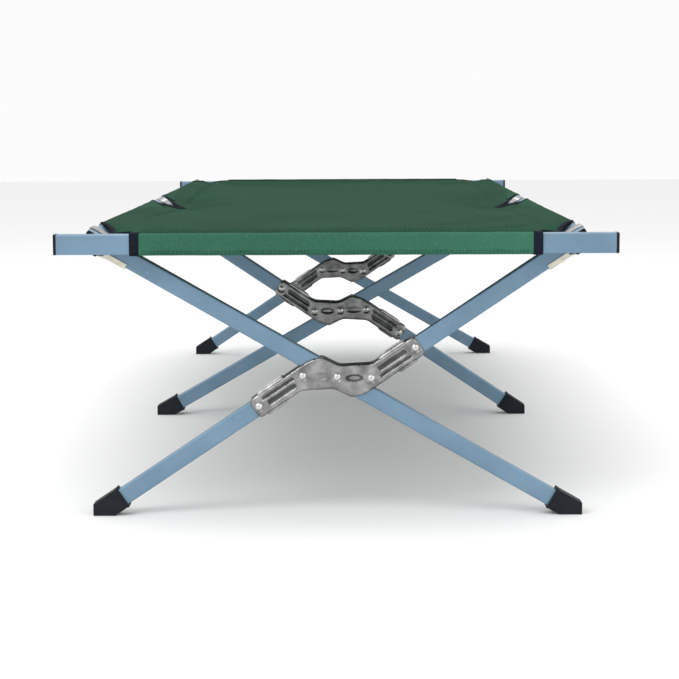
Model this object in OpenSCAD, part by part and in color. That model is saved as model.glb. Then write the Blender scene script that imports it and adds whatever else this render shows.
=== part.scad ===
// Folding camp cot: two X-legged side frames hinged on one long axis, a fabric
// bed hemmed round both side rails, and a spreader bar in a hem at each end.
// Millimetres. X is across the cot, Y along it, Z up. Origin on the floor, at the middle.

/* [Overall] */
// Length of a spreader bar over its end caps, the cot's full width
bar_length = 780; // [740:10:840]
// Distance between the centre planes of the two spreader bars
bar_spacing = 1946; // [1846:20:2046]
// Distance from the middle X frame to an end X frame
frame_pitch = 905; // [860:5:915]
// Height of the scissor pivots above the floor
pivot_height = 200; // [196:1:206]
// Slope of a leg from the horizontal, in degrees
leg_slope = 29.8; // [29:0.2:30.6]
// Distance along a leg from the scissor pivot to the side rail
leg_reach = 392; // [386:1:396]

/* [Tubes] */
// Side of the square rail tube, and height of the spreader bars
tube_side = 28; // [27:0.5:29]
// Depth of the spreader bars along the cot
bar_depth = 24; // [22:1:28]
// Height of the leg tube, square to the leg
leg_side = 25; // [24:0.5:26]
// Depth of the leg tube along the cot
leg_depth = 20; // [18:1:22]
// Wall of every tube
tube_wall = 1.6; // [1.2:0.1:2.4]
// Outer corner radius of every tube
tube_corner = 2.5; // [2:0.5:4]

/* [Crank plates] */
// Sideways offset of a cranked leg's two tubes from the scissor pivot
crank_offset = 27; // [26.5:0.5:28]
// Sheet thickness of the crank plates
plate_sheet = 1.5; // [1.2:0.1:2]
// Radius of the rivet shanks
rivet_radius = 4; // [3.5:0.25:4.5]
// Radius of the rivet heads
head_radius = 5.6; // [5:0.2:6.5]

/* [Fabric] */
// Thickness of the fabric
fabric_thickness = 1; // [0.8:0.1:1.5]
// Length of the hem round each spreader bar
end_hem_length = 570; // [540:5:580]
// Distance from the cot's middle to the corner of the fabric on a rail
corner_cut_y = 812; // [790:2:840]
// Half the gap in the side hems at the middle X frame
notch_half = 95; // [80:5:100]

/* [Hidden] */
LEFT = -1;
RIGHT = 1;
FRONT = -1;
REAR = 1;
FACING = [-1, 1];
$fn = 48;

half_tube = tube_side / 2;
half_leg = leg_side / 2;
half_depth = leg_depth / 2;
bar_half_depth = bar_depth / 2;
top_height = pivot_height + leg_reach * sin(leg_slope);
rail_x = leg_reach * cos(leg_slope);
bar_y = bar_spacing / 2;
gap = 0.3;              // free play between pieces that pass each other
touch = 0.1;            // gap between pieces held face to face
bore_play = 0.05;       // radial play of a rivet in its hole

cap_flange = 4;
plug_flange = 2;
plug_reach = 18;        // depth of a plug inside its rail
cap_reach = 16;         // depth of a cap inside its bar
overlap = 1;            // how far the two solids of one piece run into each other
bar_clearance = 7;      // from a rail's end to the spreader bar's face
rail_end_y = bar_y - bar_half_depth - bar_clearance;
stud_radius = 4;
stud_play = 0.5;        // the stud stops this far short of the bar
rail_gap_half = 5;      // half the gap between a rail's two halves
link_pin_y = 26;        // pivots of the rail's halves on the hinge links
link_half_length = 38;
link_sheet = 2;

crank_tilt = atan(crank_offset / leg_reach);
crank_tube_start = 53;  // near end of a cranked leg's tube, along it
crank_tube_top = leg_reach - half_tube - 2;
leg_top = leg_reach - half_tube - 1.5;
leg_bottom = 368;       // from the pivot to a tube's lower end, inside its boot
plate_inner = half_depth + gap;
plate_outer = plate_inner + plate_sheet;
arm_half = half_leg + touch + plate_sheet;
clamp_rivet = 118;      // rivet through a crank plate's arm, along the tube
tab_start = 70;
tab_end = 111;
tab_gap_half = 1;       // half the gap between the tabs of a crank's two plates
stop_rivet = [48.9, -1.8];      // across from the pivot, and up
stop_bush_radius = stop_rivet[0] * sin(leg_slope) + stop_rivet[1] * cos(leg_slope) - half_leg - gap;

boot_wall = 3;
boot_start = 354;
boot_outer_x = 351;     // upright outer face of the boots, from the middle

bracket_sheet = 2;
bracket_start = 338;
bracket_lip = 7.5;
bracket_step = 6;       // width of the fold between a bracket's two plates
hem_inner = half_tube + gap;
hem_outer = hem_inner + fabric_thickness;
panel_bottom = top_height + hem_outer + 0.5;
panel_half_width = 332; // the bed's flat part, a little inside the side hems

// ---- Placing ----

// Puts a piece drawn for the right-hand side on the side asked for.
module on_side(side) {
    mirror([side == LEFT ? 1 : 0, 0, 0]) children();
}

// Leg space of one X frame: X runs up the leg from the pivot to the rail, Z is square to it.
module leg_space(side, y) {
    on_side(side) translate([0, y, pivot_height]) rotate([0, -leg_slope, 0]) children();
}

// Tube space of a cranked leg's half: X runs along the tube, from beside the pivot.
module crank_space(side, y, upper) {
    leg_space(side, y) rotate([0, upper ? 0 : 180, 0])
        translate([0, 0, -crank_offset]) rotate([0, -crank_tilt, 0]) children();
}

// Rail space: Y along the rail, X and Z in line with its legs.
module rail_space(side) {
    leg_space(side, 0) translate([leg_reach, 0, 0]) children();
}

// ---- Shapes used again ----

module rounded_rect(w, h, r) {
    square([w - 2 * r, h], center = true);
    square([w, h - 2 * r], center = true);
    for (x = FACING, y = FACING) translate([x * (w / 2 - r), y * (h / 2 - r)]) circle(r = r);
}

module ring_section(w, h, wall, r) {
    difference() {
        rounded_rect(w, h, r);
        rounded_rect(w - 2 * wall, h - 2 * wall, max(r - wall, 0.5));
    }
}

// Rectangular tube along X, from one place to another.
module tube_x(from, to, depth, height) {
    translate([from, 0, 0]) rotate([90, 0, 90])
        linear_extrude(to - from) ring_section(depth, height, tube_wall, tube_corner);
}

// Square-section sleeve along Y.
module sleeve_y(from, to, outer, wall, r) {
    translate([0, from, 0]) rotate([-90, 0, 0])
        linear_extrude(to - from) ring_section(outer, outer, wall, r);
}

module bore_y(r, length) {
    rotate([90, 0, 0]) cylinder(r = r, h = length, center = true);
}

// Domed rivet along Z, its two heads seated at the given heights.
module rivet(low, high, shank = rivet_radius, head = head_radius) {
    dome = head * 0.45;
    ball = (head * head + dome * dome) / (2 * dome);
    translate([0, 0, low]) cylinder(r = shank, h = high - low);
    for (end = [0, 1]) translate([0, 0, end ? high : low]) mirror([0, 0, end ? 0 : 1])
        intersection() {
            translate([0, 0, dome - ball]) sphere(r = ball);
            cylinder(r = head + 1, h = dome);
        }
}

// ---- Legs ----

module straight_leg(side, y) {
    color([0.62, 0.70, 0.80]) leg_space(side, y) difference() {
        tube_x(-leg_bottom, leg_top, leg_depth, leg_side);
        bore_y(rivet_radius + bore_play, leg_depth + 2);
    }
}

module cranked_leg(side, y, upper) {
    color([0.62, 0.70, 0.80]) crank_space(side, y, upper) difference() {
        tube_x(crank_tube_start, upper ? crank_tube_top : leg_bottom, leg_depth, leg_side);
        translate([clamp_rivet, 0, 0]) bore_y(rivet_radius + bore_play, leg_depth + 2);
    }
}

// Half of a crank plate's outline, from one waist to the other; the other half is its half turn.
function plate_half() = [
    [-21, 29], [4, 16.5], [50, 19], [61, 26.5], [106.5, 57], [112, 55.5], [124, 37.5],
    [123, 31.5], [80, 2.8], [55, -14.5], [38, -25]
];

module crank_plate_outline() {
    polygon(concat(plate_half(), [for (p = plate_half()) -p]));
}

// One stamped plate of a crank, on the outer (front) or inner (rear) face of its tubes.
module crank_plate(side, y, outer) {
    face = outer ? -1 : 1;
    color([0.55, 0.56, 0.57]) {
        on_side(side) translate([0, y, pivot_height]) difference() {
            translate([0, face * (plate_inner + plate_outer) / 2, 0]) rotate([90, 0, 0])
                linear_extrude(plate_sheet, center = true) crank_plate_outline();
            bore_y(rivet_radius + bore_play, 4 * leg_depth);
            for (end = FACING) translate([end * stop_rivet[0], 0, end * stop_rivet[1]])
                bore_y(rivet_radius + bore_play, 4 * leg_depth);
            for (upper = [true, false]) rotate([0, upper ? 0 : 180, 0]) rotate([0, -leg_slope, 0])
                translate([0, 0, -crank_offset]) rotate([0, -crank_tilt, 0])
                translate([clamp_rivet, 0, 0]) bore_y(rivet_radius + bore_play, 4 * leg_depth);
        }
        for (upper = [true, false], edge = FACING) crank_space(side, y, upper)
            translate([tab_start, face > 0 ? tab_gap_half : -plate_outer,
                edge * (arm_half - plate_sheet / 2) - plate_sheet / 2])
                cube([tab_end - tab_start, plate_outer - tab_gap_half, plate_sheet]);
    }
}

module pivot_rivet(side, y) {
    color([0.85, 0.85, 0.86]) leg_space(side, y) rotate([90, 0, 0]) rivet(-plate_outer, plate_outer);
}

module crank_rivets(side, y) {
    color([0.85, 0.85, 0.86]) {
        on_side(side) translate([0, y, pivot_height]) for (end = FACING)
            translate([end * stop_rivet[0], 0, end * stop_rivet[1]])
                rotate([90, 0, 0]) rivet(-plate_outer, plate_outer);
        for (upper = [true, false]) crank_space(side, y, upper)
            translate([clamp_rivet, 0, 0]) rotate([90, 0, 0]) rivet(-plate_outer, plate_outer);
    }
}

// Spacers round the two inner rivets; the straight leg comes to rest on them when the X is open.
module stop_bushes(side, y) {
    color([0.6, 0.6, 0.6]) on_side(side) translate([0, y, pivot_height]) for (end = FACING)
        translate([end * stop_rivet[0], 0, end * stop_rivet[1]]) difference() {
            bore_y(stop_bush_radius, leg_depth);
            bore_y(rivet_radius + bore_play, leg_depth + 2);
        }
}

// ---- Boots ----

// Boot on a leg's lower end, trimmed level with the floor and upright on its outer side.
module boot(side, y, cranked) {
    color([0.08, 0.08, 0.09]) difference() {
        intersection() {
            boot_tube_space(side, y, cranked)
                translate([boot_start, -half_depth - boot_wall, -half_leg - boot_wall])
                cube([80, leg_depth + 2 * boot_wall, leg_side + 2 * boot_wall]);
            on_side(side) translate([0, y - leg_depth, 0]) cube([boot_outer_x, 2 * leg_depth, 100]);
        }
        boot_tube_space(side, y, cranked)
            translate([0, -half_depth - touch, -half_leg - touch])
            cube([leg_bottom + touch, leg_depth + 2 * touch, leg_side + 2 * touch]);
    }
}

// Space of a leg's lower half, with X running down it towards the floor on the side asked for.
module boot_tube_space(side, y, cranked) {
    if (cranked) crank_space(-side, y, false) children();
    else leg_space(-side, y) rotate([0, 180, 0]) children();
}

// ---- Leg brackets on the rails ----

// Folded steel bracket that carries a leg's top end under its rail.
module leg_bracket(side, y, cranked, drop) {
    wide = leg_depth + 2 * (gap + bracket_sheet);
    tongue = leg_depth;
    rail_floor = -half_tube - touch - drop;
    leg_floor = -half_leg - touch;
    color([0.72, 0.71, 0.66]) difference() {
        union() {
            leg_space(side, y)
                translate([leg_top - bracket_step, -tongue / 2, rail_floor - bracket_sheet]) {
                    cube([tube_side + bracket_step, tongue, bracket_sheet]);
                    cube([bracket_step, tongue, leg_floor - 1.5 - rail_floor + bracket_sheet]);
                }
            top_tube_space(side, y, cranked) {
                translate([bracket_start, -wide / 2, leg_floor - bracket_sheet])
                    cube([leg_top - 2 - bracket_start, wide, bracket_sheet]);
                for (face = FACING) translate([bracket_start,
                    face > 0 ? wide / 2 - bracket_sheet : -wide / 2, leg_floor - bracket_sheet])
                    cube([leg_top - 4 - bracket_start, bracket_sheet, bracket_lip]);
            }
        }
        leg_space(side, y) translate([leg_reach, 0, -half_tube - 10])
            cylinder(r = rivet_radius + bore_play, h = 20, center = true);
    }
}

module top_tube_space(side, y, cranked) {
    if (cranked) crank_space(side, y, true) children();
    else leg_space(side, y) children();
}

// Pins through a rail's three leg brackets, square to the plane of its legs.
module bracket_pins(side) {
    color([0.8, 0.8, 0.8]) for (frame = [-1, 0, 1]) {
        link = frame == 0 ? link_sheet + touch : 0;
        rail_space(side) translate([0, frame * frame_pitch, 0])
            rivet(-half_tube - touch - link - bracket_sheet, half_tube + link);
    }
}

// ---- Rails ----

module rail_half(side, end) {
    color([0.62, 0.70, 0.80]) rail_space(side) difference() {
        translate([0, end == FRONT ? -rail_end_y : rail_gap_half, 0])
            sleeve_y(0, rail_end_y - rail_gap_half, tube_side, tube_wall, tube_corner);
        for (y = [frame_pitch, link_pin_y]) translate([0, end * y, 0])
            cylinder(r = rivet_radius + bore_play, h = tube_side + 2, center = true);
    }
}

// Two flat links, above and below the rail, that its halves turn on.
module rail_links(side) {
    color([0.55, 0.56, 0.57]) rail_space(side) for (face = FACING) difference() {
        translate([0, 0, face * (half_tube + touch / 2 + link_sheet / 2)])
            linear_extrude(link_sheet, center = true) {
                square([22, 2 * link_pin_y], center = true);
                for (end = FACING) translate([0, end * link_pin_y]) circle(r = 11);
            }
        for (y = [-link_pin_y, 0, link_pin_y]) translate([0, y, 0])
            cylinder(r = rivet_radius + bore_play, h = tube_side + 12, center = true);
    }
}

module link_pins(side) {
    reach = half_tube + touch / 2 + link_sheet;
    color([0.8, 0.8, 0.8]) rail_space(side) for (end = FACING)
        translate([0, end * link_pin_y, 0]) rivet(-reach, reach);
}

// Plugs in a rail's two ends, each with the stud that locates a spreader bar.
module rail_plugs(side) {
    stud_tip = bar_y - bar_half_depth - stud_play;
    color([0.08, 0.08, 0.09]) rail_space(side) for (end = FACING) mirror([0, end > 0 ? 0 : 1, 0]) {
        translate([0, rail_end_y + touch, 0]) rotate([-90, 0, 0])
            linear_extrude(plug_flange) rounded_rect(tube_side, tube_side, tube_corner);
        translate([0, rail_end_y - plug_reach, 0]) rotate([-90, 0, 0])
            linear_extrude(plug_reach + overlap)
            square(tube_side - 2 * tube_wall - 2 * touch, center = true);
        translate([0, rail_end_y, 0]) rotate([-90, 0, 0])
            cylinder(r = stud_radius, h = stud_tip - rail_end_y);
    }
}

// ---- Spreader bars ----

module spreader_bar(end) {
    length = bar_length - 2 * cap_flange;
    color([0.62, 0.70, 0.80]) translate([0, end * bar_y, top_height]) difference() {
        tube_x(-length / 2, length / 2, bar_depth, tube_side);
        for (side = FACING) translate([side * rail_x, -end * bar_half_depth, 0])
            bore_y(stud_radius + 1, 2 * tube_wall + 2);
    }
}

module bar_caps(end) {
    length = bar_length - 2 * cap_flange;
    plug_height = tube_side - 2 * tube_wall - 2 * touch;
    plug_depth = bar_depth - 2 * tube_wall - 2 * touch;
    color([0.08, 0.08, 0.09]) translate([0, end * bar_y, top_height]) for (side = FACING)
        mirror([side > 0 ? 0 : 1, 0, 0]) {
            translate([length / 2 + touch, 0, 0]) rotate([90, 0, 90])
                linear_extrude(cap_flange - touch)
                rounded_rect(bar_depth + 4 * touch, tube_side + 4 * touch, tube_corner);
            translate([length / 2 - cap_reach, -plug_depth / 2, -plug_height / 2])
                cube([cap_reach + overlap, plug_depth, plug_height]);
        }
}

// ---- Fabric ----

module side_hem(side, end) {
    color([0.16, 0.42, 0.30]) rail_space(side)
        translate([0, end == FRONT ? -corner_cut_y : notch_half, 0])
        sleeve_y(0, corner_cut_y - notch_half, 2 * hem_outer, fabric_thickness, tube_corner + 1);
}

module end_hem(end) {
    color([0.16, 0.42, 0.30]) translate([-end_hem_length / 2, end * bar_y, top_height])
        rotate([90, 0, 90]) linear_extrude(end_hem_length)
        ring_section(2 * hem_outer - tube_side + bar_depth, 2 * hem_outer, fabric_thickness,
            tube_corner + 1);
}

// Quarter outline of the bed, from the end hem round the corner cut to the middle notch.
function panel_quarter() = [
    [end_hem_length / 2, bar_y], [end_hem_length / 2, bar_y - bar_half_depth - 6],
    [316, 900], [panel_half_width, corner_cut_y],
    [panel_half_width, notch_half], [304, 20], [296, 6]
];
function flipped(points, x, y) = [for (p = points) [x * p[0], y * p[1]]];
function reversed(points) = [for (i = [len(points) - 1:-1:0]) points[i]];

module fabric_panel() {
    q = panel_quarter();
    color([0.16, 0.42, 0.30]) translate([0, 0, panel_bottom]) linear_extrude(fabric_thickness)
        polygon(concat(q, reversed(flipped(q, 1, -1)), flipped(q, -1, -1), reversed(flipped(q, -1, 1))));
}

// ---- Nodes ----

rail_half(LEFT, FRONT);  // left_rail_front
rail_half(LEFT, REAR);  // left_rail_rear
rail_half(RIGHT, FRONT);  // right_rail_front
rail_half(RIGHT, REAR);  // right_rail_rear
rail_links(LEFT);  // left_rail_links
rail_links(RIGHT);  // right_rail_links
link_pins(LEFT);  // left_link_pins
link_pins(RIGHT);  // right_link_pins
rail_plugs(LEFT);  // left_rail_plugs
rail_plugs(RIGHT);  // right_rail_plugs

straight_leg(LEFT, -frame_pitch);  // front_straight_leg
straight_leg(RIGHT, 0);  // middle_straight_leg
straight_leg(LEFT, frame_pitch);  // rear_straight_leg
cranked_leg(RIGHT, -frame_pitch, true);  // front_cranked_leg_upper
cranked_leg(RIGHT, -frame_pitch, false);  // front_cranked_leg_lower
cranked_leg(LEFT, 0, true);  // middle_cranked_leg_upper
cranked_leg(LEFT, 0, false);  // middle_cranked_leg_lower
cranked_leg(RIGHT, frame_pitch, true);  // rear_cranked_leg_upper
cranked_leg(RIGHT, frame_pitch, false);  // rear_cranked_leg_lower

crank_plate(RIGHT, -frame_pitch, true);  // front_crank_plate_outer
crank_plate(RIGHT, -frame_pitch, false);  // front_crank_plate_inner
crank_plate(LEFT, 0, true);  // middle_crank_plate_outer
crank_plate(LEFT, 0, false);  // middle_crank_plate_inner
crank_plate(RIGHT, frame_pitch, true);  // rear_crank_plate_outer
crank_plate(RIGHT, frame_pitch, false);  // rear_crank_plate_inner
pivot_rivet(RIGHT, -frame_pitch);  // front_pivot_rivet
pivot_rivet(LEFT, 0);  // middle_pivot_rivet
pivot_rivet(RIGHT, frame_pitch);  // rear_pivot_rivet
crank_rivets(RIGHT, -frame_pitch);  // front_crank_rivets
crank_rivets(LEFT, 0);  // middle_crank_rivets
crank_rivets(RIGHT, frame_pitch);  // rear_crank_rivets
stop_bushes(RIGHT, -frame_pitch);  // front_stop_bushes
stop_bushes(LEFT, 0);  // middle_stop_bushes
stop_bushes(RIGHT, frame_pitch);  // rear_stop_bushes

leg_bracket(LEFT, -frame_pitch, false, 0);  // front_left_bracket
leg_bracket(RIGHT, -frame_pitch, true, 0);  // front_right_bracket
leg_bracket(LEFT, 0, true, link_sheet + touch);  // middle_left_bracket
leg_bracket(RIGHT, 0, false, link_sheet + touch);  // middle_right_bracket
leg_bracket(LEFT, frame_pitch, false, 0);  // rear_left_bracket
leg_bracket(RIGHT, frame_pitch, true, 0);  // rear_right_bracket
bracket_pins(LEFT);  // left_bracket_pins
bracket_pins(RIGHT);  // right_bracket_pins

boot(LEFT, -frame_pitch, true);  // front_left_boot
boot(RIGHT, -frame_pitch, false);  // front_right_boot
boot(LEFT, 0, false);  // middle_left_boot
boot(RIGHT, 0, true);  // middle_right_boot
boot(LEFT, frame_pitch, true);  // rear_left_boot
boot(RIGHT, frame_pitch, false);  // rear_right_boot

side_hem(LEFT, FRONT);  // left_hem_front
side_hem(LEFT, REAR);  // left_hem_rear
side_hem(RIGHT, FRONT);  // right_hem_front
side_hem(RIGHT, REAR);  // right_hem_rear
fabric_panel();
end_hem(FRONT);  // front_end_hem
end_hem(REAR);  // rear_end_hem

spreader_bar(FRONT);  // front_spreader_bar
spreader_bar(REAR);  // rear_spreader_bar
bar_caps(FRONT);  // front_bar_caps
bar_caps(REAR);  // rear_bar_caps
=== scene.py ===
"""Visual model of the folding camp cot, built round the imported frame.

Metres. X is across the cot, Y along it, Z up.
"""
import math

import bpy
import bmesh
from mathutils import Euler, Matrix, Vector, geometry, noise


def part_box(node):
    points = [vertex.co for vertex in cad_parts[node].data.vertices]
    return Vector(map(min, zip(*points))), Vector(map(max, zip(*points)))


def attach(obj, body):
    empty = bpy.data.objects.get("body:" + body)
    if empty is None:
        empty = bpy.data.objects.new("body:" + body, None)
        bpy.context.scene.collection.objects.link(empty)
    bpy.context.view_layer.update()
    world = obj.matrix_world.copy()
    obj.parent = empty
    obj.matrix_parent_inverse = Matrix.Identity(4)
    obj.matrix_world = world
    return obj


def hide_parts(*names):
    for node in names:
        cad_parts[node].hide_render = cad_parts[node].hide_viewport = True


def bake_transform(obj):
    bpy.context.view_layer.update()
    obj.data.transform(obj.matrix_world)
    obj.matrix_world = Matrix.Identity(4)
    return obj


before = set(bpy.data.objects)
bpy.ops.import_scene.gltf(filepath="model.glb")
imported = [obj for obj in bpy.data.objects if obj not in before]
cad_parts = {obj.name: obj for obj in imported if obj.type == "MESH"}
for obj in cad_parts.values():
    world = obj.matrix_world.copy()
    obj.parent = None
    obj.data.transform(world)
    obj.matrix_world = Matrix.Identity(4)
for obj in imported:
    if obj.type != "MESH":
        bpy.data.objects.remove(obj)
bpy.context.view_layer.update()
MM = 0.001
SIDES = {"left": -1, "right": 1}
ENDS = {"front": -1, "rear": 1}
FRAMES = ("front", "middle", "rear")

# ---- Places, taken from the frame ----


def middle_of(node):
    low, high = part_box(node)
    return (Vector(low) + Vector(high)) / 2


PIVOT_Z = middle_of("front_pivot_rivet").z
FRAME_Y = {f: middle_of(f + "_pivot_rivet").y for f in FRAMES}
BAR_LOW, BAR_HIGH = (Vector(c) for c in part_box("rear_spreader_bar"))
BAR_Y = (BAR_LOW.y + BAR_HIGH.y) / 2
BAR_Z = (BAR_LOW.z + BAR_HIGH.z) / 2
BAR_HALF_HEIGHT = (BAR_HIGH.z - BAR_LOW.z) / 2
BAR_HALF_DEPTH = (BAR_HIGH.y - BAR_LOW.y) / 2
RAIL_X = middle_of("right_rail_front").x
SLOPE = math.atan2(BAR_Z - PIVOT_Z, RAIL_X)
REACH = math.hypot(BAR_Z - PIVOT_Z, RAIL_X)
HEM_LOW, HEM_HIGH = (Vector(c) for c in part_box("right_hem_rear"))
NOTCH_Y, CUT_Y = HEM_LOW.y, HEM_HIGH.y
END_HEM_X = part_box("rear_end_hem")[1][0]
PLATE_FACE = FRAME_Y["front"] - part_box("front_crank_plate_outer")[0][1]

HALF_TUBE = BAR_HALF_HEIGHT
HALF_LEG = 12.5 * MM
BOOT_START = 354 * MM
HALF_DEPTH = 10 * MM
CRANK_OFFSET = 27 * MM
CRANK_TILT = math.atan2(CRANK_OFFSET, REACH)
CLOTH = 1.2 * MM
HEM_GROW = 1.3 * MM
HEM_OUTER = HALF_TUBE + HEM_GROW

# ---- Mesh helpers ----


def make(name, verts, faces, material, smooth=True):
    mesh = bpy.data.meshes.new(name)
    mesh.from_pydata([tuple(v) for v in verts], [], faces)
    mesh.validate()
    bm = bmesh.new()
    bm.from_mesh(mesh)
    bmesh.ops.recalc_face_normals(bm, faces=bm.faces)
    bm.to_mesh(mesh)
    bm.free()
    for polygon in mesh.polygons:
        polygon.use_smooth = smooth
    obj = bpy.data.objects.new(name, mesh)
    bpy.context.scene.collection.objects.link(obj)
    obj.data.materials.append(material)
    return obj


def solidify(obj, thickness, offset=-1.0):
    mod = obj.modifiers.new("thickness", "SOLIDIFY")
    mod.thickness = thickness
    mod.offset = offset


def bevel(obj, width, segments=2, angle=35):
    mod = obj.modifiers.new("bevel", "BEVEL")
    mod.width = width
    mod.segments = segments
    mod.limit_method = "ANGLE"
    mod.angle_limit = math.radians(angle)


def smoothstep(t):
    t = min(max(t, 0.0), 1.0)
    return t * t * (3 - 2 * t)


def lerp(a, b, t):
    return a + (b - a) * t


def rounded_rect(half_w, half_h, radius, steps=5):
    """Closed outline of a rounded rectangle, anticlockwise, as (x, z) pairs."""
    points = []
    for i, (sx, sz) in enumerate(((1, 1), (-1, 1), (-1, -1), (1, -1))):
        cx, cz = sx * (half_w - radius), sz * (half_h - radius)
        for k in range(steps + 1):
            a = math.radians(90 * i + 90 * k / steps)
            points.append((cx + radius * math.cos(a), cz + radius * math.sin(a)))
    return points


def resample(points, step):
    """A closed outline with extra points so that no side is longer than step."""
    out = []
    for a, b in zip(points, points[1:] + points[:1]):
        count = max(1, math.ceil(math.dist(a, b) / step))
        out += [(lerp(a[0], b[0], k / count), lerp(a[1], b[1], k / count)) for k in range(count)]
    return out


def tube_mesh(name, profile_at, stations, material, closed_ends=False):
    """Tube through stations; profile_at(s) gives that station's ring of 3-D points."""
    verts, faces = [], []
    rings = [profile_at(s) for s in stations]
    n = len(rings[0])
    for ring in rings:
        verts += ring
    for r in range(len(rings) - 1):
        for k in range(n):
            k2 = (k + 1) % n
            faces.append((r * n + k, r * n + k2, (r + 1) * n + k2, (r + 1) * n + k))
    if closed_ends:
        faces.append(tuple(reversed(range(n))))
        faces.append(tuple((len(rings) - 1) * n + k for k in range(n)))
    return make(name, verts, faces, material)


def side_point(side, lx, y, lz):
    """Leg space of one side to the row frame: lx up the leg from the pivot, lz square to it."""
    x = lx * math.cos(SLOPE) - lz * math.sin(SLOPE)
    z = lx * math.sin(SLOPE) + lz * math.cos(SLOPE)
    return Vector((side * x, y, PIVOT_Z + z))


def crank_point(side, upper, s, y, p):
    """Tube space of a cranked leg's half to the row frame: s along the tube, p square to it."""
    lx = s * math.cos(CRANK_TILT) - p * math.sin(CRANK_TILT)
    lz = s * math.sin(CRANK_TILT) + p * math.cos(CRANK_TILT) - CRANK_OFFSET
    if not upper:
        lx, lz = -lx, -lz
    return side_point(side, lx, y, lz)


# ---- Materials ----


class Graph:
    """A new node material with a Principled shader, and short ways to add nodes to it."""

    def __init__(self, name, color, roughness, metallic=0.0, **sockets):
        self.material = bpy.data.materials.new(name)
        self.material.use_nodes = True
        self.nodes = self.material.node_tree.nodes
        self.links = self.material.node_tree.links
        self.shader = self.nodes["Principled BSDF"]
        self.shader.inputs["Base Color"].default_value = (*color, 1)
        self.shader.inputs["Roughness"].default_value = roughness
        self.shader.inputs["Metallic"].default_value = metallic
        for key, value in sockets.items():
            self.shader.inputs[key.replace("_", " ")].default_value = value
        self.material.diffuse_color = (*color, 1)
        self.coordinates = self.nodes.new("ShaderNodeTexCoord").outputs["Object"]

    def mapped(self, scale, rotation=(0, 0, 0)):
        node = self.nodes.new("ShaderNodeMapping")
        node.inputs["Scale"].default_value = scale
        node.inputs["Rotation"].default_value = [math.radians(a) for a in rotation]
        self.links.new(self.coordinates, node.inputs["Vector"])
        return node.outputs["Vector"]

    def noise(self, scale, detail=3.0, stretch=(1, 1, 1), rotation=(0, 0, 0)):
        node = self.nodes.new("ShaderNodeTexNoise")
        node.inputs["Scale"].default_value = scale
        node.inputs["Detail"].default_value = detail
        self.links.new(self.mapped(stretch, rotation), node.inputs["Vector"])
        return node.outputs["Fac"]

    def wave(self, scale, direction, distortion=0.0):
        node = self.nodes.new("ShaderNodeTexWave")
        node.bands_direction = direction
        node.inputs["Scale"].default_value = scale
        node.inputs["Distortion"].default_value = distortion
        self.links.new(self.coordinates, node.inputs["Vector"])
        return node.outputs["Fac"]

    def ramp(self, factor, stops):
        node = self.nodes.new("ShaderNodeValToRGB")
        elements = node.color_ramp.elements
        for element, (place, color) in zip(elements, (stops[0], stops[-1])):
            element.position = place
            element.color = (*color, 1)
        for place, color in stops[1:-1]:
            elements.new(place).color = (*color, 1)
        self.links.new(factor, node.inputs["Fac"])
        return node.outputs["Color"]

    def math(self, operation, a, b):
        node = self.nodes.new("ShaderNodeMath")
        node.operation = operation
        for socket, value in zip(node.inputs, (a, b)):
            if isinstance(value, (int, float)):
                socket.default_value = value
            else:
                self.links.new(value, socket)
        return node.outputs["Value"]

    def mix(self, factor, a, b, mode="MIX"):
        node = self.nodes.new("ShaderNodeMixRGB")
        node.blend_type = mode
        for socket, value in zip(node.inputs, (factor, a, b)):
            if isinstance(value, (int, float)):
                socket.default_value = value
            elif isinstance(value, tuple):
                socket.default_value = (*value, 1)
            else:
                self.links.new(value, socket)
        return node.outputs["Color"]

    def span(self, factor, low, high):
        node = self.nodes.new("ShaderNodeMapRange")
        node.inputs["To Min"].default_value = low
        node.inputs["To Max"].default_value = high
        self.links.new(factor, node.inputs["Value"])
        return node.outputs["Result"]

    def set(self, socket, value):
        self.links.new(value, self.shader.inputs[socket])

    def bump(self, height, distance, strength=1.0):
        node = self.nodes.new("ShaderNodeBump")
        node.inputs["Distance"].default_value = distance
        node.inputs["Strength"].default_value = strength
        self.links.new(height, node.inputs["Height"])
        self.links.new(node.outputs["Normal"], self.shader.inputs["Normal"])


def scale_color(color, factor):
    return tuple(min(c * factor, 1.0) for c in color)


def tube_material(name, drawn_along):
    """Satin anodised tube with fine drawing lines, faint mottling and small scratches."""
    base = (0.15, 0.247, 0.34)
    g = Graph(name, base, 0.38, metallic=0.45)
    stretch = {"Y": (1, 0.02, 1), "X": (0.02, 1, 1), "leg": (0.06, 1, 0.4)}[drawn_along]
    lines = g.noise(900, 3, stretch)
    mottle = g.noise(14, 5)
    scratches = g.noise(160, 8, (1, 1, 1), (0, 40, 0))
    tint = g.ramp(mottle, [(0.3, scale_color(base, 0.9)), (0.7, scale_color(base, 1.12))])
    worn = g.ramp(scratches, [(0.68, (0, 0, 0)), (0.74, (1, 1, 1))])
    g.set("Base Color", g.mix(worn, tint, scale_color(base, 1.45)))
    g.set("Roughness", g.span(lines, 0.3, 0.46))
    g.bump(lines, 0.00005, 0.6)
    return g.material


def plated_material(name, base):
    """Zinc-plated steel sheet: grey, faintly cloudy, with handling marks."""
    g = Graph(name, base, 0.3, metallic=0.95)
    clouds = g.noise(48, 6)
    grain = g.noise(420, 4)
    dark, bright = scale_color(base, 0.55), scale_color(base, 1.7)
    tint = g.ramp(clouds, [(0.32, dark), (0.52, base), (0.76, bright)])
    g.set("Base Color", tint)
    g.set("Roughness", g.span(clouds, 0.18, 0.42))
    g.bump(g.math("ADD", g.math("MULTIPLY", clouds, 0.6), g.math("MULTIPLY", grain, 0.25)), 0.0006, 0.7)
    return g.material


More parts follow.
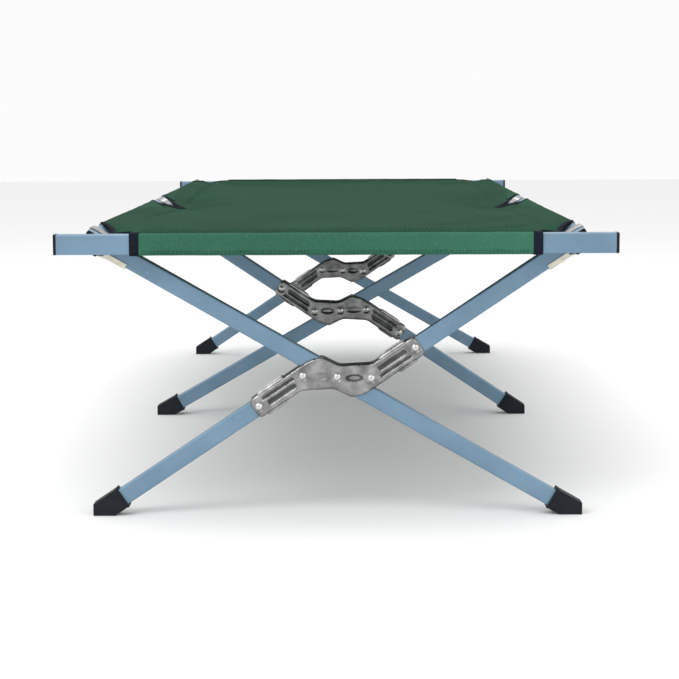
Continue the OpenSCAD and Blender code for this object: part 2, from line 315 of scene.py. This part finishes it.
def rivet_material():
    base = (0.62, 0.62, 0.61)
    g = Graph("rivet_steel_look", base, 0.24, metallic=0.85)
    marks = g.noise(260, 4)
    g.set("Roughness", g.span(marks, 0.16, 0.36))
    g.set("Base Color", g.ramp(marks, [(0.35, scale_color(base, 0.8)), (0.6, base)]))
    g.bump(marks, 0.0002, 0.5)
    return g.material


def strip_material():
    base = (0.74, 0.71, 0.6)
    g = Graph("zinc_strip_look", base, 0.36, metallic=0.5)
    marks = g.noise(120, 4)
    g.set("Base Color", g.ramp(marks, [(0.35, scale_color(base, 0.82)), (0.65, base)]))
    g.bump(marks, 0.0002, 0.4)
    return g.material


def rubber_material():
    base = (0.0098, 0.0125, 0.0178)
    g = Graph("boot_rubber_look", base, 0.5, Specular_IOR_Level=0.14)
    skin = g.noise(700, 3)
    scuff = g.noise(35, 6)
    g.set("Base Color", g.ramp(scuff, [(0.4, base), (0.78, (0.015, 0.0175, 0.0225))]))
    g.set("Roughness", g.span(scuff, 0.42, 0.66))
    g.bump(skin, 0.0003, 0.5)
    return g.material


def plastic_material():
    base = (0.0045, 0.0055, 0.008)
    g = Graph("black_plastic_look", base, 0.42, Specular_IOR_Level=0.2)
    grain = g.noise(900, 2)
    g.set("Roughness", g.span(g.noise(30, 4), 0.34, 0.52))
    g.bump(grain, 0.0002, 0.4)
    return g.material


def weave_height(g, scale, across, along):
    warp = g.wave(scale, across, 0.15)
    weft = g.wave(scale, along, 0.15)
    return g.math("MAXIMUM", warp, weft)


def cloth_material(name, base, along="Y", across="X", weave=230, dust=0.35):
    """Woven cloth: threads both ways, slubs, patches of fading and pale dust specks."""
    g = Graph(name, base, 0.88, Specular_IOR_Level=0.05)
    threads = weave_height(g, weave, across, along)
    fade = g.noise(5.5, 6)
    slubs = g.noise(260, 4, (1, 0.15, 1))
    specks = g.noise(480, 6)
    color = g.ramp(fade, [(0.3, scale_color(base, 0.8)), (0.72, scale_color(base, 1.22))])
    color = g.mix(g.span(slubs, 0.0, 0.5), color, scale_color(base, 1.5))
    between = g.math("MULTIPLY", g.math("SUBTRACT", 1.0, threads), 0.5)
    color = g.mix(between, color, scale_color(base, 0.35))
    dusty = g.ramp(specks, [(0.6, (0, 0, 0)), (0.7, (dust, dust, dust))])
    color = g.mix(dusty, color, (0.36, 0.42, 0.34))
    g.set("Base Color", color)
    g.set("Roughness", g.span(slubs, 0.72, 0.92))
    g.bump(g.math("ADD", threads, g.math("MULTIPLY", slubs, 0.8)), 0.0004, 0.6)
    return g.material


TUBE_X = tube_material("aluminium_bar_look", "X")
TUBE_Y = tube_material("aluminium_rail_look", "Y")
TUBE_LEG = tube_material("aluminium_leg_look", "leg")
PLATED = plated_material("plated_steel_look", (0.25, 0.252, 0.248))
# Darker copy of the plated steel: painted shade in the pressed grooves and the bowl
PLATED_GROOVE_SHADE = plated_material("pressed_groove_painted_shade_look", (0.075, 0.078, 0.08))
# Brighter copy of the plated steel: painted highlight on the top lips of the crank plates
FLANGE_HIGHLIGHT = plated_material("flange_painted_highlight_look", (0.6, 0.6, 0.59))
RIVET = rivet_material()
STRIP = strip_material()
RUBBER = rubber_material()
PLASTIC = plastic_material()
# One green cloth in three copies with different base colours: darkest on the top sheet and flaps,
# lightest on the bar hems, between on the rail hems. The differences are painted shade and painted
# light, not a difference in the cloth.
CLOTH_TOP_SHADED = cloth_material("green_fabric_top_shaded_look", (0.0122, 0.053, 0.0285), dust=0.1)
CLOTH_BAR_LIT = cloth_material("green_fabric_bar_lit_look", (0.035, 0.13, 0.084), along="Z", dust=0.12)
CLOTH_RAIL = cloth_material("green_fabric_rail_look", (0.02, 0.072, 0.042), across="Z", dust=0.1)
TAPE = cloth_material("black_tape_look", (0.008, 0.0105, 0.018), weave=200, dust=0.03)
THREAD = cloth_material("seam_thread_look", (0.022, 0.072, 0.042), weave=300, dust=0.1)

# ---- CAD nodes: better materials and softened edges ----


def look_for(node):
    if "boot" in node:
        return RUBBER
    if "caps" in node or "plugs" in node:
        return PLASTIC
    if "rivet" in node or "pins" in node or "bush" in node:
        return RIVET
    if "bracket" in node:
        return STRIP
    if "plate" in node or "links" in node:
        return PLATED
    if "bar" in node:
        return TUBE_X
    if "rail" in node:
        return TUBE_Y
    if "leg" in node:
        return TUBE_LEG
    return CLOTH_TOP_SHADED


EDGE = {"boot": 1.6 * MM, "plate": 0.5 * MM, "bracket": 0.6 * MM, "caps": 0.9 * MM, "links": 0.5 * MM}
for node_name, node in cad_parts.items():
    for index in range(max(1, len(node.material_slots))):
        if node.material_slots:
            node.material_slots[index].material = look_for(node_name)
        else:
            node.data.materials.append(look_for(node_name))
    for word, width in EDGE.items():
        if word in node_name and "pins" not in node_name:
            bevel(node, width, 3 if word == "boot" else 2)

# ---- The bed: one sheet from rail to rail ----

TOP_ANGLE = SLOPE + math.radians(45)
HEM_ROUND = 3.5 * MM
CORNER_REACH = HEM_OUTER * math.sqrt(2) - HEM_ROUND * (math.sqrt(2) - 1)
EDGE_X = RAIL_X + CORNER_REACH * math.cos(TOP_ANGLE) + 0.5 * MM
EDGE_Z = BAR_Z + CORNER_REACH * math.sin(TOP_ANGLE) + 0.8 * MM
END_Z = BAR_Z + HEM_OUTER + 1.0 * MM
SHEET_END_Y = BAR_Y - BAR_HALF_DEPTH - HEM_GROW - 1.5 * MM
SAG = 14 * MM
NOTCH_TIP = 0.301
NOTCH_DROOP = 17 * MM
NOTCH_DROOP_X, NOTCH_DROOP_WIDE, NOTCH_DROOP_LONG = 0.289, 0.05, 0.36
CORNER_DROOP = 7 * MM
CORNER_DROOP_X, CORNER_DROOP_Y = 0.306, 0.914
CORNER_DROOP_WIDE, CORNER_DROOP_LONG = 0.025, 0.036
CUT_INNER = 0.306


def edge_x(y):
    """Half width of the bed's sheet at y: full between the cuts, less at the notches and corners."""
    a = abs(y)
    if a < NOTCH_Y:
        share = a / NOTCH_Y
        return lerp(NOTCH_TIP, EDGE_X, math.sqrt(share ** 2 + 0.02) - 0.141 + 0.131 * share)
    if a > CUT_Y:
        run = min((a - CUT_Y) / (BAR_Y - BAR_HALF_DEPTH - CUT_Y), 1.0)
        into_hem = smoothstep((run - 0.86) / 0.14)
        return lerp(EDGE_X, CUT_INNER, run ** 0.75) - (CUT_INNER - END_HEM_X) * into_hem
    return EDGE_X


def wrinkle(x, y):
    """Pull lines that fan out of the notches and the corner cuts, and broad unevenness."""
    height = 0.0008 * noise.noise(Vector((x * 7, y * 3.5, 0.3)))
    for cy, reach in ((0.0, 0.2), (CUT_Y, 0.26), (-CUT_Y, 0.26)):
        for side in (-1, 1):
            dx, dy = x - side * 0.3, y - cy
            far = math.hypot(dx, dy)
            fan = math.sin(math.atan2(dy, -side * dx) * 9 + cy)
            height += 0.0016 * fan * math.exp(-far / reach * 2.2) * smoothstep(far / 0.05)
    return height


def sheet_z(x, y):
    """Height of the bed: level with the rails at its sides, sagging between them, drooping at cuts."""
    a = abs(y)
    side_z = lerp(EDGE_Z, END_Z, smoothstep((a - CUT_Y) / (BAR_Y - BAR_HALF_DEPTH - CUT_Y)))
    near_end = min(a / (BAR_Y - 0.06), 1.0) ** 14
    middle_z = lerp(EDGE_Z - SAG, END_Z, near_end)
    share = min(abs(x) / EDGE_X, 1.0) ** 2.8
    on_bar = smoothstep((a - (BAR_Y - 0.11)) / 0.05)
    on_rail = smoothstep((abs(x) - (EDGE_X - 0.03)) / 0.03)
    z = lerp(middle_z, side_z, share) + wrinkle(x, y) * (1 - on_bar) * (1 - on_rail)
    across = (abs(x) - CORNER_DROOP_X) / CORNER_DROOP_WIDE
    along = (a - CORNER_DROOP_Y) / CORNER_DROOP_LONG
    z -= CORNER_DROOP * math.exp(-across ** 2 - along ** 2)
    across, along = (abs(x) - NOTCH_DROOP_X) / NOTCH_DROOP_WIDE, a / NOTCH_DROOP_LONG
    return z - NOTCH_DROOP * math.exp(-across ** 2 - along ** 2)


def sheet_rows():
    """Places along the bed, closer together at the notches, the cuts and the ends."""
    stops = [(0.0, 0.005), (NOTCH_Y + 0.02, 0.02), (CUT_Y - 0.01, 0.004), (CUT_Y + 0.05, 0.008),
             (SHEET_END_Y - 0.03, 0.003), (SHEET_END_Y, 0.003)]
    half = []
    for (a, step), (b, _) in zip(stops, stops[1:]):
        count = math.ceil((b - a) / step)
        half += [lerp(a, b, k / count) for k in range(count)]
    half.append(SHEET_END_Y)
    return [-y for y in reversed(half[1:])] + half


def bed_sheet():
    rows = sheet_rows()
    columns = 72
    verts, faces = [], []
    for y in rows:
        half = edge_x(y)
        for k in range(columns + 1):
            share = lerp(-1, 1, k / columns)
            x = half * (0.35 * math.sin(math.radians(90) * share) + 0.65 * share)
            verts.append((x, y, sheet_z(x, y)))
    wide = columns + 1
    for r in range(len(rows) - 1):
        for k in range(columns):
            faces.append((r * wide + k, r * wide + k + 1, (r + 1) * wide + k + 1, (r + 1) * wide + k))
    # top sheet in the darker cloth copy: painted shade
    sheet = make("bed_fabric", verts, faces, CLOTH_TOP_SHADED)
    solidify(sheet, CLOTH)
    return sheet


def across_the_bed(obj):
    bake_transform(obj)


def edge_strip(name, side, y_from, y_to, wide, material, inset=0.0, lift=0.9 * MM, step=0.004):
    """Folded tape along the sheet's cut edge, or a seam line when it is narrow and inset."""
    count = max(2, math.ceil((y_to - y_from) / step))
    ys = [lerp(y_from, y_to, k / count) for k in range(count + 1)]
    line = [Vector((edge_x(y), y, 0)) for y in ys]
    verts, faces = [], []
    for i, p in enumerate(line):
        along = (line[min(i + 1, count)] - line[max(i - 1, 0)]).normalized()
        inward = Vector((-along.y, along.x, 0))
        if inward.x > 0:
            inward = -inward
        ring = []
        for d, lift_z in ((inset + wide, lift * 0.4), (inset + wide * 0.6, lift),
                          (inset + 0.1 * wide, lift),
                          (inset - 1 * MM, lift * 0.3), (inset - 1 * MM, -CLOTH - lift * 0.3),
                          (inset + 0.1 * wide, -CLOTH - lift), (inset + wide, -CLOTH - lift * 0.4)):
            q = p + inward * d
            ring.append((side * q.x, q.y, sheet_z(q.x, q.y) + lift_z))
        verts += ring
    n = 7
    for i in range(count):
        for k in range(n):
            k2 = (k + 1) % n
            faces.append((i * n + k, i * n + k2, (i + 1) * n + k2, (i + 1) * n + k))
    faces.append(tuple(range(n)))
    faces.append(tuple(count * n + k for k in range(n)))
    tape = make(name, verts, faces, material)
    across_the_bed(tape)
    return tape


def stitch_row(name, points, length=4.2 * MM, gap=2.0 * MM, radius=0.38 * MM):
    """Row of raised stitches along a line on the sheet, each a small six-sided grain of thread."""
    verts, faces = [], []
    total, place = 0.0, 0.0
    for a, b in zip(points, points[1:]):
        total += (b - a).length
    lengths = [(b - a).length for a, b in zip(points, points[1:])]

    def at(s):
        for a, b, size in zip(points, points[1:], lengths):
            if s <= size:
                return a.lerp(b, s / size)
            s -= size
        return points[-1]

    while place + length < total:
        start, end = at(place), at(place + length)
        along = (end - start).normalized()
        across = along.cross(Vector((0, 0, 1))).normalized()
        up = across.cross(along)
        base = len(verts)
        for share, thick in ((0.0, 0.3), (0.3, 1.0), (0.7, 1.0), (1.0, 0.3)):
            centre = start.lerp(end, share)
            for k in range(6):
                a = math.radians(60 * k)
                verts.append(centre + (across * math.cos(a) + up * math.sin(a)) * radius * thick)
        for r in range(3):
            for k in range(6):
                k2 = (k + 1) % 6
                low, high = base + r * 6, base + (r + 1) * 6
                faces.append((low + k, low + k2, high + k2, high + k))
        faces.append(tuple(base + k for k in reversed(range(6))))
        faces.append(tuple(base + 18 + k for k in range(6)))
        place += length + gap
    return make(name, verts, faces, THREAD)


SEAM_INSET = 42 * MM
sheet = bed_sheet()
across_the_bed(sheet)
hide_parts("fabric_panel")
for side_name, side in SIDES.items():
    edge_strip(side_name + "_notch_tape", side, -NOTCH_Y - 4 * MM, NOTCH_Y + 4 * MM,
                            9 * MM, TAPE, lift=2.0 * MM)
    for end_name, end in ENDS.items():
        low, high = sorted((end * (CUT_Y - 0.004), end * (BAR_Y - BAR_HALF_DEPTH - 4 * MM)))
        edge_strip(f"{side_name}_{end_name}_corner_tape", side, low, high, 6 * MM, TAPE,
                                lift=1.6 * MM)
        run = [end * lerp(NOTCH_Y + 0.03, CUT_Y - 0.02, k / 90) for k in range(91)]
        for number, inset in enumerate((SEAM_INSET, SEAM_INSET + 6 * MM)):
            x = EDGE_X - inset
            row = stitch_row(f"{side_name}_{end_name}_seam_{number}",
                             [Vector((side * x, y, sheet_z(x, y) + 0.1 * MM)) for y in run])
            across_the_bed(row)


def flat_area():
    """Area of the cut sheet, less its notches and corner cuts."""
    rows = sheet_rows()
    return sum((edge_x(a) + edge_x(b)) * (b - a) for a, b in zip(rows, rows[1:]))


flat_area()

# ---- Hems round the rails and the bars ----

HEM_TAPE = 13 * MM


def rail_sleeve(name, side, y_from, y_to, grow, material, step=0.012, pucker=0.0):
    profile = rounded_rect(HEM_OUTER + grow, HEM_OUTER + grow, HEM_ROUND + grow)
    count = max(2, math.ceil(abs(y_to - y_from) / step))

    def ring(y):
        points = []
        for k, (lx, lz) in enumerate(profile):
            swell = pucker * noise.noise(Vector((lx * 60, y * 16 + side, lz * 60)))
            points.append(side_point(side, REACH + lx * (1 + swell), y, lz * (1 + swell)))
        return points

    sleeve = tube_mesh(name, ring, [lerp(y_from, y_to, k / count) for k in range(count + 1)], material)
    solidify(sleeve, 1.2 * MM)
    return sleeve


def bar_sleeve(name, end, x_from, x_to, grow, material, step=0.008, pucker=0.0):
    half_depth = BAR_HALF_DEPTH + HEM_GROW + grow
    profile = rounded_rect(half_depth, HEM_OUTER + grow, 4.5 * MM + grow, 6)
    profile = resample(profile, 2.5 * MM)
    count = max(2, math.ceil(abs(x_to - x_from) / step))

    def ring(x):
        points = []
        for py, pz in profile:
            swell = pucker * noise.noise(Vector((x * 22, pz * 45, end * 3 + py * 20)))
            hang = pucker * 0.5 * math.sin(x * 160) * smoothstep(-pz / HEM_OUTER)
            y = end * BAR_Y + py * (1 + swell + hang)
            points.append(Vector((x, y, BAR_Z + pz * (1 + 0.3 * swell))))
        return points

    sleeve = tube_mesh(name, ring, [lerp(x_from, x_to, k / count) for k in range(count + 1)], material)
    solidify(sleeve, 1.2 * MM)
    return sleeve


FLAP_BACK = 34 * MM


def flap_point(end, x, back, lift):
    """Point on the hem's sewn flap, back from the bar's middle towards the bed."""
    y = end * (BAR_Y - back)
    on_hem = BAR_Z + HEM_OUTER + 0.4 * MM
    z = lerp(on_hem, sheet_z(x, y) + 1.9 * MM, smoothstep(back / (BAR_HALF_DEPTH + 3 * MM)))
    return Vector((x, y, z + lift + 0.3 * MM * noise.noise(Vector((x * 30, y * 40, 1.7)))))


def bar_flap(name, end):
    """The end hem's inner lap, sewn down on the bed beside the bar."""
    columns, rows = 110, 12
    half = END_HEM_X - HEM_TAPE + 1 * MM
    verts = [flap_point(end, lerp(-half, half, k / columns), FLAP_BACK * r / rows, 0.0)
             for r in range(rows + 1) for k in range(columns + 1)]
    wide = columns + 1
    faces = [(r * wide + k, r * wide + k + 1, (r + 1) * wide + k + 1, (r + 1) * wide + k)
             for r in range(rows) for k in range(columns)]
    flap = make(name, verts, faces, CLOTH_TOP_SHADED)
    solidify(flap, 0.7 * MM)
    return flap


for side_name, side in SIDES.items():
    body = side_name + "_side"
    for end_name, end in ENDS.items():
        hem = rail_sleeve(f"{side_name}_{end_name}_rail_hem", side, end * NOTCH_Y, end * CUT_Y, 0.0,
                          CLOTH_RAIL, pucker=0.035)
        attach(hem, body)
        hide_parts(f"{side_name}_hem_{end_name}")
        for place, y in (("notch", NOTCH_Y), ("corner", CUT_Y)):
            inner = y + HEM_TAPE if place == "notch" else y - HEM_TAPE
            tape = rail_sleeve(f"{side_name}_{end_name}_{place}_hem_tape", side, end * y, end * inner,
                               0.7 * MM, TAPE, 0.004)
            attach(tape, body)

for end_name, end in ENDS.items():
    body = end_name + "_bar"
    # bar hem in the lighter cloth copy: painted light on the same green cloth
    hem = bar_sleeve(end_name + "_bar_hem", end, -END_HEM_X, END_HEM_X, 0.0, CLOTH_BAR_LIT, pucker=0.05)
    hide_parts(end_name + "_end_hem")
    parts = [hem]
    for side_name, side in SIDES.items():
        parts.append(bar_sleeve(f"{end_name}_{side_name}_bar_tape", end, side * END_HEM_X,
                                side * (END_HEM_X - HEM_TAPE), 0.8 * MM, TAPE, 0.004))
    parts.append(bar_flap(end_name + "_bar_flap", end))
    for number, back in enumerate((FLAP_BACK - 4 * MM, FLAP_BACK - 9 * MM)):
        line = [flap_point(end, lerp(-0.272, 0.272, k / 60), back, 0.9 * MM) for k in range(61)]
        parts.append(stitch_row(f"{end_name}_cross_seam_{number}", line))
    depth = BAR_HALF_DEPTH + HEM_GROW + 0.2 * MM
    for number, low in enumerate((3.0 * MM, 6.0 * MM)):
        y, z = end * (BAR_Y + depth), BAR_Z - HEM_OUTER + low
        line = [Vector((-0.268, y, z)), Vector((0.268, y, z))]
        row = stitch_row(f"{end_name}_hem_seam_{number}", line, 3.6 * MM, 1.6 * MM, 0.5 * MM)
        parts.append(row)
    for piece in parts:
        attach(piece, body)

# ---- Pressed relief on the crank plates ----

HALF_OUTLINE = [(-21, 29), (4, 16.5), (50, 19), (61, 26.5), (106.5, 57), (112, 55.5), (124, 37.5),
                (123, 31.5), (80, 2.8), (55, -14.5), (38, -25)]
CLAMP_RIVET = 118 * MM
STOP_RIVET = Vector((48.9, -1.8)) * MM


def rounded_outline(points, radius, steps=4):
    """The closed outline with each corner cut to a smooth curve."""
    out = []
    count = len(points)
    for i in range(count):
        before, here, after = (Vector(points[(i + k) % count]) for k in (-1, 0, 1))
        r = min(radius, (before - here).length * 0.45, (after - here).length * 0.45)
        start = here + (before - here).normalized() * r
        end = here + (after - here).normalized() * r
        for k in range(steps + 1):
            t = k / steps
            out.append(tuple(start.lerp(here, t).lerp(here.lerp(end, t), t)))
    return out


def inset_outline():
    scaled = [(x * MM, z * MM) for x, z in HALF_OUTLINE]
    return rounded_outline(scaled + [(-x, -z) for x, z in scaled], 6 * MM)


def border_distance(p, outline):
    best = 1.0
    for a, b in zip(outline, outline[1:] + outline[:1]):
        near, share = geometry.intersect_point_line(Vector((*p, 0)), Vector((*a, 0)), Vector((*b, 0)))
        if share < 0:
            near = Vector((*a, 0))
        elif share > 1:
            near = Vector((*b, 0))
        best = min(best, (near - Vector((*p, 0))).length)
    return best


def inside(p, outline):
    hit = False
    for (ax, az), (bx, bz) in zip(outline, outline[1:] + outline[:1]):
        if (az > p[1]) != (bz > p[1]) and p[0] < (bx - ax) * (p[1] - az) / (bz - az) + ax:
            hit = not hit
    return hit


def arm_coordinates(x, z):
    """(distance along, distance across) an arm's tube from beside the pivot, the same on both arms."""
    if x < 0:
        x, z = -x, -z
    base = Vector((math.sin(SLOPE), -math.cos(SLOPE))) * CRANK_OFFSET
    tilt = SLOPE + CRANK_TILT
    rel = Vector((x, z)) - base
    cos, sin = math.cos(tilt), math.sin(tilt)
    return rel.x * cos + rel.y * sin, -rel.x * sin + rel.y * cos


def groove(s, p, s_from, s_to, centre, half):
    along = max(s_from - s, 0.0, s - s_to)
    return max(0.0, 1 - math.hypot(along, p - centre) / half)


def relief(x, z, border):
    """Height of the pressed sheet over its plate: rolled rim, two grooves an arm, a sunken saddle."""
    height = 2.1 * MM
    height -= 1.7 * MM * (1 - smoothstep(border / (3.2 * MM)))
    s, p = arm_coordinates(x, z)
    if s > 45 * MM:
        height -= 2.0 * MM * smoothstep(groove(s, p, 60 * MM, 101 * MM, 3.4 * MM, 4.4 * MM) * 2.4)
        height -= 1.6 * MM * smoothstep(groove(s, p, 56 * MM, 108 * MM, -6.4 * MM, 3.2 * MM) * 2.4)
    dish = math.hypot((abs(x) - 25 * MM) / (17 * MM), (z * (1 if x > 0 else -1) + 1 * MM) / (6.5 * MM))
    height -= 1.9 * MM * (1 - smoothstep((dish - 0.35) * 1.5))
    for rivet in (Vector((0, 0)), STOP_RIVET, -STOP_RIVET):
        seat = (Vector((x, z)) - rivet).length
        height = lerp(0.6 * MM, height, smoothstep((seat - 5.6 * MM) / (2.4 * MM)))
    seat = math.hypot(s - CLAMP_RIVET, p)
    height = lerp(0.6 * MM, height, smoothstep((seat - 5.6 * MM) / (2.4 * MM)))
    return height


def relief_mesh():
    """Triangulated sheet over the plate's outline as (points, triangles), heights in the third place."""
    outline = resample(inset_outline(), 2.2 * MM)
    border = [Vector(p) for p in outline]
    points = list(border)
    step = 1.5 * MM
    for i in range(-88, 89):
        for k in range(-42, 43):
            p = (i * step, k * step + (i % 2) * step / 2)
            if inside(p, outline) and border_distance(p, outline) > 0.8 * MM:
                points.append(Vector(p))
    ring = [(k, (k + 1) % len(border)) for k in range(len(border))]
    flat, _, triangles, *_ = geometry.delaunay_2d_cdt(points, ring, [], 1, 1e-6)
    return [(p.x, p.y, relief(p.x, p.y, border_distance(p, outline))) for p in flat], triangles


RELIEF_POINTS, RELIEF_TRIANGLES = relief_mesh()


def in_painted_groove_shade(x, z, height):
    """True in the arms' grooves and on the sides of the bowl beside the pivot, the faces given the
    darker plated copy as painted shade.
    """
    s, p = arm_coordinates(x, z)
    if s > 52 * MM:
        return height < 1.3 * MM and abs(p) < 11 * MM and s < 108 * MM
    return 0.35 * MM < height < 1.6 * MM and 9.5 * MM < x < 39 * MM and abs(z) < 9 * MM


def crank_relief(frame_name, side, face_name, face):
    y0 = FRAME_Y[frame_name]
    verts = [(side * x, y0 + face * (PLATE_FACE + h), PIVOT_Z + z) for x, z, h in RELIEF_POINTS]
    triangles = [tuple(t) for t in RELIEF_TRIANGLES]
    obj = make(f"{frame_name}_{face_name}_crank_relief", verts, triangles, PLATED)
    # second slot: the darker plated copy, painted shade in the grooves and the bowl beside the pivot
    obj.data.materials.append(PLATED_GROOVE_SHADE)
    for polygon in obj.data.polygons:
        corners = [RELIEF_POINTS[v] for v in polygon.vertices]
        depth = sum(h for _, _, h in corners) / len(corners)
        polygon.material_index = int(all(in_painted_groove_shade(x, z, depth) for x, z, _ in corners))
    solidify(obj, 0.5 * MM)
    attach(obj, ("left" if side < 0 else "right") + "_side")


def flange_lip(frame_name, side, face_name, face, upper, edge):
    """Folded edge that stands out beside an arm of a crank plate, with worn, rounded ends; top lips take
    the brighter plated copy as a painted highlight.
    """
    body = ("left" if side < 0 else "right") + "_side"
    on_top = upper == (edge > 0)
    s_from, s_to = (66 * MM, 110 * MM) if on_top else (80 * MM, 112 * MM)
    p_from, p_to = 14.6 * MM, 17.6 * MM
    y_from, y_to = PLATE_FACE - 3.4 * MM, PLATE_FACE + 2.4 * MM
    stations = [lerp(s_from, s_to, k / 14) for k in range(15)]

    def ring(s):
        taper = smoothstep((s - s_from) / (4 * MM)) * smoothstep((s_to - s) / (3 * MM))
        reach = lerp(0.55, 1.0, taper)
        half_p, half_y = (p_to - p_from) / 2 * reach, (y_to - y_from) / 2
        middle_y = (y_from + y_to) / 2
        return [crank_point(side, upper, s, FRAME_Y[frame_name] + face * (middle_y + y),
                            edge * (p_from + half_p + p))
                for y, p in rounded_rect(half_y, half_p, 0.9 * MM, 3)]

    place = "upper" if upper else "lower"
    name = f"{frame_name}_{face_name}_{place}_{'top' if on_top else 'bottom'}_flange"
    # top lips in the brighter plated copy as a painted highlight, bottom lips in plain plated steel
    lip = tube_mesh(name, ring, stations, FLANGE_HIGHLIGHT if on_top else PLATED, closed_ends=True)
    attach(lip, body)


for frame_name in FRAMES:
    crank_side = -1 if frame_name == "middle" else 1
    for face_name, face in (("outer", -1), ("inner", 1)):
        crank_relief(frame_name, crank_side, face_name, face)
        for upper in (True, False):
            for edge in (-1, 1):
                flange_lip(frame_name, crank_side, face_name, face, upper, edge)

# ---- Boots, bracket ribs and saddles ----


def leg_ring(point, s, half_h, half_d, radius):
    return [point(s, y, p) for y, p in rounded_rect(half_d, half_h, radius, 4)]


def boot_lip(frame_name, foot):
    """Raised band round a boot's mouth."""
    cranked = (foot < 0) != (frame_name == "middle")
    y0 = FRAME_Y[frame_name]
    body_side = -foot

    def point(s, y, p):
        if cranked:
            return crank_point(body_side, False, s, y0 + y, p)
        return side_point(body_side, -s, y0 + y, -p)

    start = BOOT_START
    steps = ((0.0, 2.9), (0.2, 3.6), (0.8, 4.0), (2.4, 4.0), (3.2, 3.7), (4.0, 2.9))
    rings = [leg_ring(point, start + s * MM, HALF_LEG + w * MM, HALF_DEPTH + w * MM,
                      (1.5 + w * 0.5) * MM) for s, w in steps]
    inner = leg_ring(point, start, HALF_LEG + 0.15 * MM, HALF_DEPTH + 0.15 * MM, 1.6 * MM)
    name = f"{frame_name}_{'left' if foot < 0 else 'right'}_boot_lip"
    obj = tube_mesh(name, lambda r: r, [inner] + rings, RUBBER)
    solidify(obj, 0.4 * MM)
    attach(obj, ("left" if body_side < 0 else "right") + "_side")


def rail_saddle(frame_name, side):
    """Ribbed steel saddle folded round the rail above an end frame's leg bracket."""
    side_name = "left" if side < 0 else "right"
    ribs, half_wide, steps = 4, 17 * MM, 40
    half = HALF_TUBE + 0.5 * MM
    stations = []
    for k in range(steps + 1):
        share = k / steps
        rib = 1.3 * MM * (0.5 - 0.5 * math.cos(share * math.pi * 2 * ribs)) ** 1.5
        stations.append((lerp(-half_wide, half_wide, share), half + rib))

    def ring(station):
        y, reach = station
        return [side_point(side, REACH + lx, FRAME_Y[frame_name] + y, lz)
                for lx, lz in rounded_rect(reach, reach, 3 * MM)]

    saddle = tube_mesh(f"{frame_name}_{side_name}_rail_saddle", ring, stations, PLATED)
    solidify(saddle, 0.8 * MM, 1.0)
    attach(saddle, side_name + "_side")


for frame_name in FRAMES:
    for side in SIDES.values():
        boot_lip(frame_name, side)
        if frame_name != "middle":
            rail_saddle(frame_name, side)

# ---- Stage ----


def floor():
    size = 12.0
    mesh = bpy.data.meshes.new("floor")
    corners = [(-size, -size, 0), (size, -size, 0), (size, size, 0), (-size, size, 0)]
    mesh.from_pydata(corners, [], [(0, 1, 2, 3)])
    obj = bpy.data.objects.new("floor", mesh)
    bpy.context.scene.collection.objects.link(obj)
    obj.data.materials.append(Graph("floor_look", (0.9, 0.9, 0.9), 0.9).material)


def area_light(name, place, target, size, power):
    data = bpy.data.lights.new(name, "AREA")
    data.shape = "RECTANGLE"
    data.size, data.size_y = size
    data.energy = power
    obj = bpy.data.objects.new(name, data)
    obj.location = place
    obj.rotation_euler = (Vector(target) - Vector(place)).to_track_quat("-Z", "Y").to_euler()
    bpy.context.scene.collection.objects.link(obj)


def world_light(strength):
    world = bpy.data.worlds.new("studio")
    world.use_nodes = True
    world.node_tree.nodes["Background"].inputs["Color"].default_value = (1, 1, 1, 1)
    world.node_tree.nodes["Background"].inputs["Strength"].default_value = strength
    bpy.context.scene.world = world


def camera():
    data = bpy.data.cameras.new("camera")
    data.sensor_width = 36
    data.lens = 100
    data.clip_end = 60
    obj = bpy.data.objects.new("camera", data)
    pitch, yaw, roll = 6.94, 0.38, -0.25
    turn = Euler((math.radians(90 - pitch), 0, math.radians(yaw))).to_matrix() @ Matrix.Rotation(
        math.radians(roll), 3, "Z")
    obj.matrix_world = Matrix.Translation((0.0215, -3.577, 0.578)) @ turn.to_4x4()
    bpy.context.scene.collection.objects.link(obj)
    bpy.context.scene.camera = obj


floor()
world_light(0.97)
area_light("key", (-2.2, -3.2, 3.0), (0, -0.3, 0.3), (2.5, 2.5), 68)
area_light("fill", (2.8, -3.0, 1.8), (0, -0.6, 0.3), (2.5, 2.0), 26)
area_light("top", (0, 0.5, 3.6), (0, 0.3, 0.4), (3.0, 3.5), 44)
camera()
bpy.context.scene.view_settings.view_transform = "Standard"
